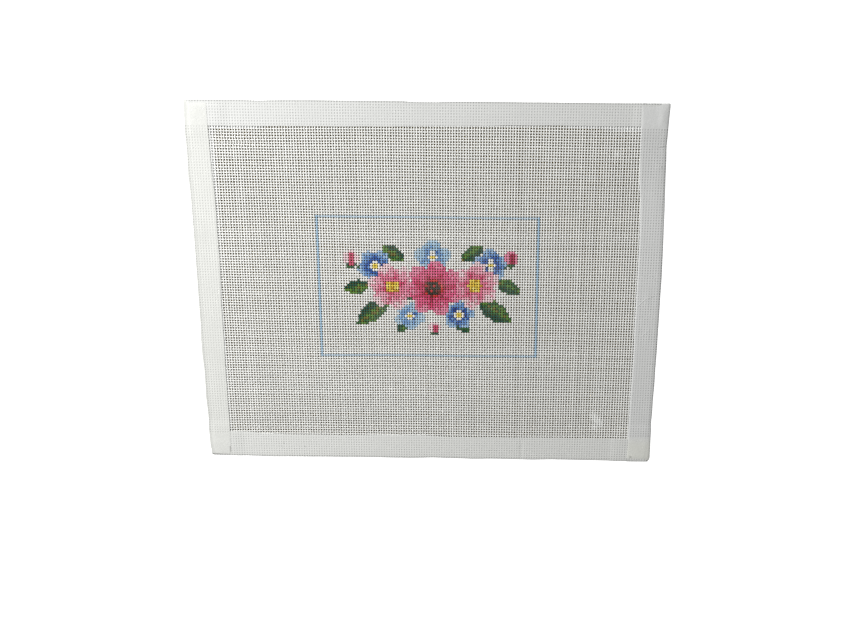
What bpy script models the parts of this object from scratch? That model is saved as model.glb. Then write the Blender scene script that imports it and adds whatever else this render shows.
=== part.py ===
"""Needlepoint canvas panel: a stiff sheet of mono canvas, its four raw edges bound with folded tape.

The panel lies face up. X runs along its long side, Y towards its top edge, and Z is the height above
the surface that it lies on. Sizes are written in millimetres and become metres in the meshes.
"""

import math

import bmesh
import bpy
import numpy as np

MM = 0.001

# The canvas sheet and the tape
CANVAS_THICK = 1.0
TAPE_THICK = 0.5
TAPE_WIDE = 25.4
GAP = 0.3
FOLD_RADIUS = 1.2
LAYER = TAPE_THICK + GAP
SINGLE_HEIGHT = CANVAS_THICK + 2 * LAYER
CANVAS_INSET = 1.4
TAPE_END_INSET = 2.6

# The outline, which is a little skewed and nowhere quite straight. The rows of the two upright edges are
# (share of the way up, x) and those of the two level edges are (share of the way to the right, y).
LEFT_EDGE = (
    (0.00, -122.4),
    (0.04, -122.9),
    (0.10, -123.35),
    (0.28, -123.7),
    (0.45, -124.35),
    (0.61, -124.55),
    (0.77, -125.15),
    (0.92, -125.75),
    (1.00, -125.3),
)
RIGHT_EDGE = (
    (0.00, 125.75),
    (0.11, 125.0),
    (0.20, 124.8),
    (0.28, 124.95),
    (0.45, 124.45),
    (0.61, 123.55),
    (0.77, 122.2),
    (0.84, 121.5),
    (0.92, 121.2),
    (1.00, 121.5),
)
TOP_EDGE = (
    (0.00, 98.05),
    (0.07, 97.75),
    (0.14, 98.05),
    (0.21, 98.45),
    (0.40, 98.35),
    (0.67, 98.3),
    (0.86, 98.15),
    (1.00, 98.1),
)
BOTTOM_EDGE = (
    (0.00, -96.9),
    (0.14, -97.2),
    (0.27, -97.35),
    (0.40, -97.5),
    (0.53, -97.65),
    (0.66, -97.9),
    (0.80, -98.1),
    (0.93, -98.5),
    (1.00, -98.7),
)

# The bare mesh inside the tapes follows the threads, so its two upright sides lean to the left.
WINDOW_LEFT = -112.2
WINDOW_RIGHT = 110.5
WINDOW_TOP = 86.6
WINDOW_BOTTOM = -84.8
THREAD_LEAN = -0.0179

# How far each tape reaches over the canvas on its wider lap, with room to spare
COVER = {"left": 13.2, "right": 14.4, "top": 12.9, "bottom": 14.4}
STEP_LENGTH = 8.0

# The corners of the two upright tapes: the radius of the rounded corner at the lower and upper end,
# and how far the upper end stands proud of the tape beneath it.
CORNERS = {
    "left": {"low_radius": 2.0, "high_radius": 1.0, "proud": 0.0},
    "right": {"low_radius": 2.4, "high_radius": 0.8, "proud": 0.6},
}

# The sheet's own low waves: height, wavelength along X, wavelength along Y, phase
WAVES = (
    (0.14, 118.0, 260.0, 0.4),
    (0.10, 74.0, 95.0, 2.1),
)
WAVE_FADE = 22.0

# How finely each shape is divided: the spacing of its stations, and its first ones in from each end
MIDDLE_SPACING = 15.0
STEP_PARTS = 4
ARC_PARTS = 3
ROUND_ENDS = (0.0, 0.35, 0.9, 1.6, 2.4, 7.0)
HIDDEN_ENDS = (TAPE_END_INSET, 7.0)
CANVAS_ENDS = (CANVAS_INSET, 7.0)

COLOURS = {
    "canvas": (0.80, 0.79, 0.74),
    "binding_top": (0.82, 0.82, 0.80),
    "binding_bottom": (0.81, 0.81, 0.79),
    "binding_left": (0.84, 0.84, 0.82),
    "binding_right": (0.76, 0.76, 0.74),
}
CLOTH_ROUGHNESS = 0.85


def along_edge(rows, share):
    """The edge's place at a share of its length, on a smooth curve through the rows."""
    places = [row[0] for row in rows]
    values = [row[1] for row in rows]
    slopes = np.gradient(values, places)
    share = min(max(share, places[0]), places[-1])
    k = min(max(int(np.searchsorted(places, share)) - 1, 0), len(rows) - 2)
    span = places[k + 1] - places[k]
    t = (share - places[k]) / span
    start = (2 * t**3 - 3 * t**2 + 1) * values[k] + (t**3 - 2 * t**2 + t) * span * slopes[k]
    end = (3 * t**2 - 2 * t**3) * values[k + 1] + (t**3 - t**2) * span * slopes[k + 1]
    return float(start + end)


def width_at(up):
    return along_edge(RIGHT_EDGE, up) - along_edge(LEFT_EDGE, up)


def height_at(across):
    return along_edge(TOP_EDGE, across) - along_edge(BOTTOM_EDGE, across)


def place(across, up):
    """The point of the panel at these shares of the way to the right and up."""
    x = along_edge(LEFT_EDGE, up) + across * width_at(up)
    y = along_edge(BOTTOM_EDGE, across) + up * height_at(across)
    return x, y


def side_point(side, share, inward):
    """The point at a share of the way along a side, and so far in from it."""
    if side == "left":
        return place(inward / width_at(share), share)
    if side == "right":
        return place(1 - inward / width_at(share), share)
    if side == "top":
        return place(share, 1 - inward / height_at(share))
    return place(share, inward / height_at(share))


def side_length(side):
    return height_at(0.5) if side in ("left", "right") else width_at(0.5)


def front_lap(side, share):
    """How far the tape reaches over the canvas's face, from the outer edge to the bare mesh."""
    x, y = side_point(side, share, 0.0)
    if side == "left":
        return WINDOW_LEFT + THREAD_LEAN * y - x
    if side == "right":
        return x - WINDOW_RIGHT - THREAD_LEAN * y
    if side == "top":
        return y - WINDOW_TOP
    return WINDOW_BOTTOM - y


def smooth_fall(distance, start):
    """1 up to the start, then an even S down to 0 over the length of a step."""
    t = min(max((distance - start) / STEP_LENGTH, 0.0), 1.0)
    return 1 - t * t * (3 - 2 * t)


def covered(sides, x, y):
    """1 where the tapes of the two sides cover this point of the panel, and 0 well inside them."""
    first, second = sides
    if first == "left":
        near = x - along_edge(LEFT_EDGE, 0.5)
        far = along_edge(RIGHT_EDGE, 0.5) - x
    else:
        near = y - along_edge(BOTTOM_EDGE, 0.5)
        far = along_edge(TOP_EDGE, 0.5) - y
    return max(smooth_fall(near, COVER[first]), smooth_fall(far, COVER[second]))


def upright_cover(x, y):
    return covered(("left", "right"), x, y)


def level_cover(x, y):
    return covered(("bottom", "top"), x, y)


def wave(x, y):
    """The canvas's low waves, which die out before they reach the tapes."""
    inside_x = min(x - WINDOW_LEFT, WINDOW_RIGHT - x)
    inside_y = min(y - WINDOW_BOTTOM, WINDOW_TOP - y)
    fade_x = min(max(inside_x / WAVE_FADE, 0.0), 1.0)
    fade_y = min(max(inside_y / WAVE_FADE, 0.0), 1.0)
    total = sum(
        high * math.sin(2 * math.pi * (x / long_x + y / long_y) + phase)
        for high, long_x, long_y, phase in WAVES
    )
    return total * fade_x * fade_y


def canvas_top(x, y):
    """The canvas lies on the back laps, and is lifted by one more layer at each corner."""
    corner = upright_cover(x, y) * level_cover(x, y)
    return LAYER + CANVAS_THICK + LAYER * corner + wave(x, y)


def tape_heights(side, x, y):
    """The lowest and highest point of a tape's section there. The upright tapes wrap the level ones."""
    if side in ("left", "right"):
        return 0.0, SINGLE_HEIGHT + 2 * LAYER * level_cover(x, y)
    lift = LAYER * upright_cover(x, y)
    return lift, lift + SINGLE_HEIGHT


def stations(length, cover_low, cover_high, ends):
    """Distances along a side: close together at the corners and at the steps, wide apart between them."""
    step = [STEP_LENGTH * k / STEP_PARTS for k in range(STEP_PARTS + 1)]
    low = list(ends) + [cover_low + d for d in step]
    high = list(ends) + [cover_high + d for d in step]
    start = low[-1]
    stop = length - high[-1]
    count = round((stop - start) / MIDDLE_SPACING)
    middle = [start + (stop - start) * k / count for k in range(1, count)]
    return low + middle + [length - d for d in reversed(high)]


def tape_section(front, back, low, high):
    """The outer face of a folded tape: (distance in from the edge, height), face lap to back lap."""
    points = [(front, high), (front / 2, high)]
    for k in range(ARC_PARTS + 1):
        angle = 0.5 * math.pi * k / ARC_PARTS
        points.append((FOLD_RADIUS * (1 - math.sin(angle)), high - FOLD_RADIUS * (1 - math.cos(angle))))
    for k in range(ARC_PARTS + 1):
        angle = 0.5 * math.pi * k / ARC_PARTS
        points.append((FOLD_RADIUS * (1 - math.cos(angle)), low + FOLD_RADIUS * (1 - math.sin(angle))))
    points += [(back / 2, low), (back, low)]
    return points


def corner_inset(distance, radius):
    """How far a rounded corner draws the fold in, so near to the end of the tape."""
    short = max(radius - distance, 0.0)
    return radius - math.sqrt(max(radius**2 - short**2, 0.0))


def grid_sheet(name, columns, rows, point_of):
    """A sheet of columns by rows of points, each of which point_of places, in millimetres."""
    bm = bmesh.new()
    bmesh.ops.create_grid(bm, x_segments=columns - 1, y_segments=rows - 1, size=0.5)
    for vert in bm.verts:
        column = round((vert.co.x + 0.5) * (columns - 1))
        row = round((vert.co.y + 0.5) * (rows - 1))
        vert.co = [MM * value for value in point_of(column, row)]
    bm.normal_update()
    highest = max(bm.faces, key=lambda face: face.calc_center_median().z)
    if highest.normal.z < 0:
        bmesh.ops.reverse_faces(bm, faces=bm.faces)
    mesh = bpy.data.meshes.new(name)
    bm.to_mesh(mesh)
    bm.free()
    return mesh


def add_piece(name, mesh, thick, parent):
    """Gives a sheet its thickness, downwards from its face, and its cloth."""
    piece = bpy.data.objects.new(name, mesh)
    bpy.context.scene.collection.objects.link(piece)
    piece.parent = parent
    solid = piece.modifiers.new("thickness", "SOLIDIFY")
    solid.thickness = thick * MM
    solid.offset = -1.0
    solid.use_even_offset = True
    solid.use_quality_normals = True
    cloth = bpy.data.materials.new(name)
    cloth.use_nodes = True
    shader = cloth.node_tree.nodes["Principled BSDF"]
    shader.inputs["Base Color"].default_value = (*COLOURS[name], 1.0)
    shader.inputs["Roughness"].default_value = CLOTH_ROUGHNESS
    shader.inputs["Metallic"].default_value = 0.0
    mesh.materials.append(cloth)
    mesh.shade_smooth()
    mesh.set_sharp_from_angle(angle=math.radians(40))
    return piece


def make_canvas(parent):
    """The sheet of canvas, cut just short of the folds of the tapes."""
    long = stations(side_length("top"), COVER["left"], COVER["right"], CANVAS_ENDS)
    tall = stations(side_length("left"), COVER["bottom"], COVER["top"], CANVAS_ENDS)

    def point_of(column, row):
        x, y = place(long[column] / side_length("top"), tall[row] / side_length("left"))
        return x, y, canvas_top(x, y)

    mesh = grid_sheet("canvas", len(long), len(tall), point_of)
    return add_piece("canvas", mesh, CANVAS_THICK, parent)


def make_tape(side, parent):
    """One tape, folded in half over the raw edge of its side."""
    upright = side in ("left", "right")
    length = side_length(side)
    low_side, high_side = ("bottom", "top") if upright else ("left", "right")
    ends = ROUND_ENDS if upright else HIDDEN_ENDS
    distances = stations(length, COVER[low_side], COVER[high_side], ends)
    corner = CORNERS.get(side)

    def section_at(distance):
        share = distance / length
        front = front_lap(side, share)
        fold_path = math.pi * FOLD_RADIUS + SINGLE_HEIGHT - 2 * FOLD_RADIUS
        back = TAPE_WIDE - fold_path + 2 * FOLD_RADIUS - front
        x, y = side_point(side, share, FOLD_RADIUS)
        low, high = tape_heights(side, x, y)
        return front, tape_section(front, back, low, high)

    def point_of(column, row):
        distance = distances[column]
        front, section = section_at(distance)
        inward, height = section[row]
        proud = 0.0
        if corner:
            outer = max(1 - inward / front, 0.0)
            drawn = corner_inset(distance, corner["low_radius"])
            drawn += corner_inset(length - distance, corner["high_radius"])
            inward += drawn * outer
            if column == len(distances) - 1:
                proud = corner["proud"] * outer
        x, y = side_point(side, distance / length, inward)
        return x, y + proud, height

    name = "binding_" + side
    mesh = grid_sheet(name, len(distances), len(section_at(0.5 * length)[1]), point_of)
    return add_piece(name, mesh, TAPE_THICK, parent)


def main():
    for old in list(bpy.data.objects):
        bpy.data.objects.remove(old, do_unlink=True)
    panel = bpy.data.objects.new("panel", None)
    bpy.context.scene.collection.objects.link(panel)
    make_canvas(panel)
    for side in ("top", "bottom", "left", "right"):
        make_tape(side, panel)


main()
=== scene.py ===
# %% [markdown]
# A painted needlepoint canvas, bound with tape
#
# A needlepoint canvas is a stiff, open cotton mesh that someone later fills with stitches. This one
# is bare except for a small painted flower spray and one painted frame line, and a white cloth tape
# is folded over each of its four raw edges. This lesson dresses a plain solid model of it: every
# thread of the mesh becomes real geometry, the tapes become thin folded sheets, and all the colours
# come from shader nodes. The first cell loads the solid model, whose size and place never change.

# %% Load the solid model
import math

import bmesh
import bpy
import numpy as np
from mathutils import Matrix, Vector
from mathutils.bvhtree import BVHTree


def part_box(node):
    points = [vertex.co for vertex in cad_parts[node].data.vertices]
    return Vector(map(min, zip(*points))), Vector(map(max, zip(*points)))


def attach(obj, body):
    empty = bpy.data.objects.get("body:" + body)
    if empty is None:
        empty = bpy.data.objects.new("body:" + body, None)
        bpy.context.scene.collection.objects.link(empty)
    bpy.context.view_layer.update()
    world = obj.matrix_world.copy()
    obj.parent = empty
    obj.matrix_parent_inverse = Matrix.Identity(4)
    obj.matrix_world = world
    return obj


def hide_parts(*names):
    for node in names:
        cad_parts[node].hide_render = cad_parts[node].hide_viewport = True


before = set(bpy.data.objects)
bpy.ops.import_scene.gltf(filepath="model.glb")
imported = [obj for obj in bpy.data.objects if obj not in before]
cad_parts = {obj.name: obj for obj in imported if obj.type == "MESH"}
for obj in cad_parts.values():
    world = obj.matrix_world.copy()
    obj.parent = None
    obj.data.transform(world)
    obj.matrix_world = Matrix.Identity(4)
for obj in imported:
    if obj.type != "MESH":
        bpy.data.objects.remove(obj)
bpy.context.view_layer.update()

MM = 0.001

# %% [markdown]
# Counting threads
#
# Everything on a canvas is counted in threads, so the lesson counts too. Holes of the mesh have whole
# numbers, i to the right and j downwards, and the threads run at the halves between them. Eighteen
# threads make an inch. The level threads are square to the page, and the upright ones lean by about
# one degree, because a loose mesh never keeps a true right angle.

# %% From thread numbers to places
PITCH = 25.4 * MM / 18
SKEW = math.radians(1.0247)
MIDDLE_COUNT = (62.2, 33.2)


def counted_place(i, j):
    """The place on the panel of the point i threads to the right and j threads down."""
    across = i - MIDDLE_COUNT[0]
    down = j - MIDDLE_COUNT[1]
    return across * PITCH + down * PITCH * math.sin(SKEW), -down * PITCH * math.cos(SKEW)


print("One thread to the next, mm:", round(PITCH / MM, 4))

# %% [markdown]
# Reading heights off the solid
#
# The mesh lies on the tapes that pass under its rim, so it is a little higher at the corners and has
# two low waves. Casting rays down onto the solid canvas gives its height anywhere. A coarse table of
# heights, read between its points, is much quicker than a ray for each of 400,000 vertices. The solid
# has thick stand-in layers where the real tape is thin, so the mesh settles a little lower than it,
# and the lift at the corners, where those layers are double, is pressed.

# %% A table of the canvas's heights
CANVAS_HALF = 0.5 * MM
TABLE_COLUMNS = 90
TABLE_ROWS = 72
TABLE_RIM = 1.0 * MM
FREE_RISE = 0.25 * MM
PRESSED = 0.2
SETTLE = 0.78 * MM


def ray_tree(node):
    """A tree that answers where a ray meets a node of the solid model."""
    bm = bmesh.new()
    bm.from_mesh(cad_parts[node].data)
    tree = BVHTree.FromBMesh(bm)
    bm.free()
    return tree


canvas_tree = ray_tree("canvas")
canvas_low, canvas_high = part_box("canvas")
table_x = np.linspace(canvas_low.x - TABLE_RIM, canvas_high.x + TABLE_RIM, TABLE_COLUMNS)
table_y = np.linspace(canvas_low.y - TABLE_RIM, canvas_high.y + TABLE_RIM, TABLE_ROWS)
table_z = np.full((TABLE_ROWS, TABLE_COLUMNS), np.nan)
for row, y in enumerate(table_y):
    for column, x in enumerate(table_x):
        hit = canvas_tree.ray_cast(Vector((x, y, 1.0)), Vector((0, 0, -1)))[0]
        if hit is not None:
            table_z[row, column] = hit.z - CANVAS_HALF
solid_home = float(np.nanmedian(table_z))
home = solid_home - SETTLE
rise = np.nan_to_num(table_z, nan=solid_home) - solid_home
table_z = home + np.where(rise > FREE_RISE, FREE_RISE + PRESSED * (rise - FREE_RISE), rise)


def cloth_height(x, y):
    """The height of the middle of the canvas at these places."""
    across = np.clip((x - table_x[0]) / (table_x[1] - table_x[0]), 0, TABLE_COLUMNS - 1.001)
    up = np.clip((y - table_y[0]) / (table_y[1] - table_y[0]), 0, TABLE_ROWS - 1.001)
    c = np.floor(across).astype(int)
    r = np.floor(up).astype(int)
    u = across - c
    v = up - r
    lower = table_z[r, c] * (1 - u) + table_z[r, c + 1] * u
    upper = table_z[r + 1, c] * (1 - u) + table_z[r + 1, c + 1] * u
    return lower * (1 - v) + upper * v


print("Canvas middle, mm:", round(home / MM, 2), "to", round(float(table_z.max()) / MM, 2))

# %% [markdown]
# The camera
#
# The camera looks down on the panel from 45 cm. It stands 11 cm above the middle of the page, just
# past the top edge, and is tipped to look back at the middle. Its lens and turn are written as a
# photographer would note them, and the threads of the mesh served as the ruler that found them.

# %% Place the camera
CAMERA_PLACE = (-0.1548 * MM, 109.38 * MM, 451.87 * MM + home)
CAMERA_TURN = (-15.4334, 0.4311, 0.4358)
LENS = 36.825

camera_data = bpy.data.cameras.new("camera")
camera_data.lens = LENS
camera_data.sensor_width = 36.0
camera_data.clip_start = 0.01
camera = bpy.data.objects.new("camera", camera_data)
camera.location = CAMERA_PLACE
camera.rotation_euler = [math.radians(angle) for angle in CAMERA_TURN]
bpy.context.scene.collection.objects.link(camera)
bpy.context.scene.camera = camera
bpy.context.scene.view_settings.view_transform = "Standard"
print("Camera height, mm:", round(CAMERA_PLACE[2] / MM))

# %% [markdown]
# Little helpers for shader nodes
#
# Node trees get long in code, so a few helpers keep each line about one node. Each takes the tree, the
# kind of node, its settings and what goes into its sockets: a socket of another node makes a link, and
# anything else becomes the socket's own value.

# %% Node helpers
def add_node(tree, kind, inputs=None, **settings):
    """Adds a shader node, sets its options and fills its sockets."""
    made = tree.nodes.new("ShaderNode" + kind)
    for name, value in settings.items():
        setattr(made, name, value)
    for key, value in (inputs or {}).items():
        if isinstance(value, bpy.types.NodeSocket):
            tree.links.new(value, made.inputs[key])
        else:
            made.inputs[key].default_value = value
    return made


def calc(tree, operation, a, b=0.0, clamp=False):
    """One sum on two numbers."""
    return add_node(tree, "Math", {0: a, 1: b}, operation=operation, use_clamp=clamp).outputs[0]


def ramp(tree, value, low, high, to_low=0.0, to_high=1.0):
    """Turns a range of a value into another, with soft ends."""
    made = add_node(
        tree,
        "MapRange",
        {"Value": value, "From Min": low, "From Max": high, "To Min": to_low, "To Max": to_high},
        interpolation_type="SMOOTHSTEP",
    )
    return made.outputs["Result"]


def blend_colours(tree, share, first, second, mode="MIX"):
    """Mixes two colours, by sockets 0, 6 and 7 of the Mix node."""
    made = add_node(tree, "Mix", {0: share, 6: first, 7: second}, data_type="RGBA", blend_type=mode)
    return made.outputs[2]


def vector_calc(tree, operation, a, b):
    """One sum on two vectors, which gives a vector."""
    return add_node(tree, "VectorMath", {0: a, 1: b}, operation=operation).outputs["Vector"]


def dot(tree, place, vector):
    """How far a place lies along a direction."""
    return add_node(tree, "VectorMath", {0: place, 1: vector}, operation="DOT_PRODUCT").outputs["Value"]


def new_group(name, inputs, outputs):
    """A node group with named sockets. Each input is (name, kind, value)."""
    group = bpy.data.node_groups.new(name, "ShaderNodeTree")
    sockets = group.interface
    for title, kind, value in inputs:
        socket = sockets.new_socket(name=title, in_out="INPUT", socket_type="NodeSocket" + kind)
        if value is not None:
            socket.default_value = value
    for title, kind in outputs:
        sockets.new_socket(name=title, in_out="OUTPUT", socket_type="NodeSocket" + kind)
    given = group.nodes.new("NodeGroupInput").outputs
    gives = group.nodes.new("NodeGroupOutput").inputs
    return group, given, gives


def use_group(tree, group, inputs):
    """Places a group in a tree and returns its outputs."""
    made = tree.nodes.new("ShaderNodeGroup")
    made.node_tree = group
    for name, value in inputs.items():
        if isinstance(value, bpy.types.NodeSocket):
            tree.links.new(value, made.inputs[name])
        else:
            made.inputs[name].default_value = value
    return made.outputs


def srgb(red, green, blue):
    """A colour as seen on a screen, from 0 to 255, as the linear numbers that shaders take."""
    shares = (red / 255, green / 255, blue / 255)
    return tuple(s / 12.92 if s <= 0.04045 else ((s + 0.055) / 1.055) ** 2.4 for s in shares)


def opaque(tone):
    """The same, with the fourth number that a colour socket takes."""
    return (*srgb(*tone), 1)


print("A soft white as shaders see it:", [round(c, 3) for c in opaque((236, 236, 232))])

# %% [markdown]
# The floor
#
# The panel lies on a pale floor. In the photograph every hole of the mesh looks dark, one more olive
# and the next more brown, so the floor is toned down inside the panel's outline, where only the holes
# show it, and each hole draws its own tone. Round the panel the floor glows, for the camera alone, so
# that the backdrop is an even white.

# %% Lay the floor
FLOOR_SIZE = 12.0
FLOOR_DROP = 0.05 * MM
UNDER_HALF = (119.0 * MM, 91.0 * MM)
UNDER_SOFT = 3.0 * MM
FLOOR_GLOW = 0.95
FLOOR_WHITE = (244, 244, 242)
# Painted shade: the dark tones that the holes of the mesh show, one drawn for each hole
HOLE_SHADE_TONES = ((142, 120, 34), (106, 102, 44), (148, 116, 40))
THIRD_TONE_SHARE = 0.6

bm = bmesh.new()
bmesh.ops.create_grid(bm, x_segments=1, y_segments=1, size=FLOOR_SIZE / 2)
bmesh.ops.translate(bm, vec=(0, 0, -FLOOR_DROP), verts=bm.verts)
floor_mesh = bpy.data.meshes.new("floor")
bm.to_mesh(floor_mesh)
bm.free()
floor = bpy.data.objects.new("floor", floor_mesh)
bpy.context.scene.collection.objects.link(floor)

floor_paint = bpy.data.materials.new("pale floor")
floor_paint.use_nodes = True
tree = floor_paint.node_tree
shader = tree.nodes["Principled BSDF"]
place = add_node(tree, "TexCoord").outputs["Object"]
axes = add_node(tree, "SeparateXYZ", {0: place}).outputs
inside = []
for axis, half in zip("XY", UNDER_HALF):
    off_middle = calc(tree, "ABSOLUTE", axes[axis])
    inside.append(ramp(tree, off_middle, half, half + UNDER_SOFT, 1, 0))
under = calc(tree, "MULTIPLY", *inside)
# Painted shade: inside the panel's outline the floor is painted dark, so every hole of the mesh looks deep
# in shade
cell = vector_calc(tree, "DIVIDE", place, (PITCH, PITCH, 1))
cell = add_node(tree, "VectorMath", {0: cell}, operation="FLOOR").outputs[0]
draw = add_node(tree, "TexWhiteNoise", {"Vector": cell}).outputs["Value"]
hole_shade = blend_colours(tree, draw, opaque(HOLE_SHADE_TONES[0]), opaque(HOLE_SHADE_TONES[1]))
again = calc(tree, "FRACT", calc(tree, "MULTIPLY", draw, 7.0))
hole_shade = blend_colours(tree, calc(tree, "MULTIPLY", again, THIRD_TONE_SHARE), hole_shade, opaque(HOLE_SHADE_TONES[2]))
floor_colour = blend_colours(tree, under, opaque(FLOOR_WHITE), hole_shade)
seen = add_node(tree, "LightPath").outputs["Is Camera Ray"]
glow = calc(tree, "MULTIPLY", seen, calc(tree, "SUBTRACT", 1.0, under))
tree.links.new(floor_colour, shader.inputs["Base Color"])
shader.inputs["Roughness"].default_value = 0.9
shader.inputs["Emission Color"].default_value = (1, 1, 1, 1)
tree.links.new(calc(tree, "MULTIPLY", glow, FLOOR_GLOW), shader.inputs["Emission Strength"])
floor_mesh.materials.append(floor_paint)
print("The floor, m across:", FLOOR_SIZE)

# %% [markdown]
# The light
#
# One broad lamp stands low at the upper left: the left tape is nearly white, the right one is a soft
# grey, and little light falls straight through the holes. The sky lights the panel dimly, and is pale
# where the camera sees it past the floor's far edge.

# %% Lamp and sky
LAMP_PLACE = (-0.60, 0.30, 0.40)
LAMP_POWER = 6.7
LAMP_SIZE = 0.26
SKY_STRENGTH = 0.28
SKY_SEEN = 1.0

lamp_data = bpy.data.lights.new("window lamp", "AREA")
lamp_data.energy = LAMP_POWER
lamp_data.size = LAMP_SIZE
lamp = bpy.data.objects.new("window lamp", lamp_data)
lamp.location = LAMP_PLACE
lamp.rotation_euler = (Vector(LAMP_PLACE)).to_track_quat("Z", "Y").to_euler()
bpy.context.scene.collection.objects.link(lamp)

sky = bpy.data.worlds.new("dim sky")
sky.use_nodes = True
background = sky.node_tree.nodes["Background"]
background.inputs["Color"].default_value = (1.0, 1.0, 1.0, 1.0)
seen = add_node(sky.node_tree, "LightPath").outputs["Is Camera Ray"]
strength = calc(sky.node_tree, "MULTIPLY_ADD", seen, SKY_SEEN - SKY_STRENGTH)
strength.node.inputs[2].default_value = SKY_STRENGTH
sky.node_tree.links.new(strength, background.inputs["Strength"])
bpy.context.scene.world = sky
lamp_lean = math.atan2(math.hypot(*LAMP_PLACE[:2]), LAMP_PLACE[2])
print("Lamp, degrees off upright:", round(math.degrees(lamp_lean)))

# %% [markdown]
# Keeping the mesh crisp
#
# In this picture a thread and the hole beside it share less than three pixels. A denoiser takes so
# fine a pattern for noise and smears it to an even grey, so it is left off. The light is simple, so
# only a little noise is left, and cotton has a grain of its own that hides it.

# %% Leave the denoiser off
bpy.context.scene.cycles.use_denoising = False
print("Denoiser:", bpy.context.scene.cycles.use_denoising)

# %% [markdown]
# How a thread runs
#
# Plain weave repeats after two threads each way: an upright thread goes over one level thread and
# under the next, and its neighbour does the opposite. So four short pieces of thread, two upright and
# two level, are the whole pattern. Each starts as a five-sided ring that is flattened a little, and is
# pushed out step by step over a crossing, through a gap, under a crossing and through a gap again.
# Five sides are enough, because the repeat is used thousands of times and smooth shading rounds it.
# The level threads were pulled less in the loom, so they are a little softer and wider.

# %% Sizes of a thread
# The first width is for upright threads and the second for level ones
THREAD_HALF_WIDE = {True: 0.339 * MM, False: 0.372 * MM}
THREAD_HALF_HIGH = 0.20 * MM
CRIMP = 0.15 * MM
SIDES = 5
STEPS = 4
BEAD = 1.07
print("Height of a crossing, mm:", round(2 * (CRIMP + THREAD_HALF_HIGH) / MM, 2))

# %% [markdown]
# A flat map of the threads
#
# Colours can only be baked onto faces that have a spot of their own on a flat map. An unwrapping tool
# would take long over this many faces, but here they are made in a known order, so each one gets its
# spot by a sum: one tile for each repeat, a quarter of it for each thread, and a small cell with a rim
# for each side of each step.

# %% Spots on the flat map
REPEATS = (16, 62)
REPEAT_THREADS = 4
MAP_TOP = 0.97
MAP_RIM = 0.05


def side_angle(point, centre, upright):
    """The angle of a point round its thread."""
    across = point.x - centre.x if upright else point.y - centre.y
    return math.atan2(point.z - centre.z, across)


def map_spot(slot, step, side, along, around):
    """Where a corner lies on the flat map: one tile for each repeat, cut into small cells."""
    u = (slot + (step + MAP_RIM + along * (1 - 2 * MAP_RIM)) / STEPS) / REPEAT_THREADS
    v = (side + MAP_RIM + around * (1 - 2 * MAP_RIM)) / SIDES
    return u / REPEATS[0], v / REPEATS[1] * MAP_TOP


print("Cells on the flat map:", math.prod(REPEATS) * REPEAT_THREADS * STEPS * SIDES)

# %% [markdown]
# One repeat of the mesh
#
# Now a ring can be pushed out into a thread. Each push makes five new faces, which are turned to face
# away from the thread's middle and put on the map. Over and under each crossing the thread is pressed
# a little wider than in the gaps. Each vertex also notes whether its thread is upright, because later
# on the whole thread has to move as one.

# %% Weave four threads
RING_SPREAD = 0.951


def add_thread(bm, slot, upright, start, over_first):
    """A thread over two crossings. It starts in the gap before the first one."""
    uv = bm.loops.layers.uv["OFBake"]
    mark = bm.verts.layers.float["upright"]
    ring = bmesh.ops.create_circle(bm, cap_ends=False, segments=SIDES, radius=1.0)["verts"]
    bmesh.ops.rotate(bm, cent=(0, 0, 0), matrix=Matrix.Rotation(math.pi, 3, "Z"), verts=ring)
    bmesh.ops.scale(bm, vec=(THREAD_HALF_WIDE[upright] / RING_SPREAD, THREAD_HALF_HIGH, 1), verts=ring)
    bmesh.ops.rotate(bm, cent=(0, 0, 0), matrix=Matrix.Rotation(math.pi / 2, 3, "X"), verts=ring)
    if not upright:
        bmesh.ops.rotate(bm, cent=(0, 0, 0), matrix=Matrix.Rotation(math.pi / 2, 3, "Z"), verts=ring)
    bmesh.ops.translate(bm, vec=start, verts=ring)
    forward = Vector((0, 1, 0)) if upright else Vector((1, 0, 0))
    sign = 1 if over_first else -1
    heights = (0, sign * CRIMP, 0, -sign * CRIMP, 0)
    centre = Vector(start)
    for vert in ring:
        vert[mark] = 1.0 if upright else 0.0
    for step in range(STEPS):
        edges = [edge for edge in bm.edges if all(vert in ring for vert in edge.verts)]
        made = bmesh.ops.extrude_edge_only(bm, edges=edges)["geom"]
        new_ring = [item for item in made if isinstance(item, bmesh.types.BMVert)]
        faces = [item for item in made if isinstance(item, bmesh.types.BMFace)]
        shift = forward * PITCH / 2 + Vector((0, 0, heights[step + 1] - heights[step]))
        bmesh.ops.translate(bm, vec=shift, verts=new_ring)
        new_centre = centre + shift
        wider = 1 / BEAD if step % 2 else BEAD
        about = Matrix.Translation(-new_centre)
        bmesh.ops.scale(bm, vec=(wider, wider, 1), space=about, verts=new_ring)
        for vert in new_ring:
            vert[mark] = 1.0 if upright else 0.0
        bm.normal_update()
        for face in faces:
            middle = face.calc_center_median()
            axis = (centre + new_centre) / 2
            radial = middle - axis
            radial -= forward * radial.dot(forward)
            if face.normal.dot(radial) < 0:
                face.normal_flip()
            turn = side_angle(middle, axis, upright)
            side = int(math.floor((turn + math.tau) % math.tau / (math.tau / SIDES)))
            for loop in face.loops:
                far = loop.vert in new_ring
                own = side_angle(loop.vert.co, new_centre if far else centre, upright)
                lead = (own - turn + math.pi) % math.tau - math.pi
                loop[uv].uv = map_spot(slot, step, side, 1.0 if far else 0.0, 1.0 if lead > 0 else 0.0)
        ring = new_ring
        centre = new_centre


bm = bmesh.new()
bm.loops.layers.uv.new("OFBake")
bm.verts.layers.float.new("upright")
add_thread(bm, 0, True, (0.5 * PITCH, 0, 0), True)
add_thread(bm, 1, True, (1.5 * PITCH, 0, 0), False)
add_thread(bm, 2, False, (0, 0.5 * PITCH, 0), False)
add_thread(bm, 3, False, (0, 1.5 * PITCH, 0), True)
repeat_mesh = bpy.data.meshes.new("repeat")
bm.to_mesh(repeat_mesh)
bm.free()
print("Faces in one repeat:", len(repeat_mesh.polygons))

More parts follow.
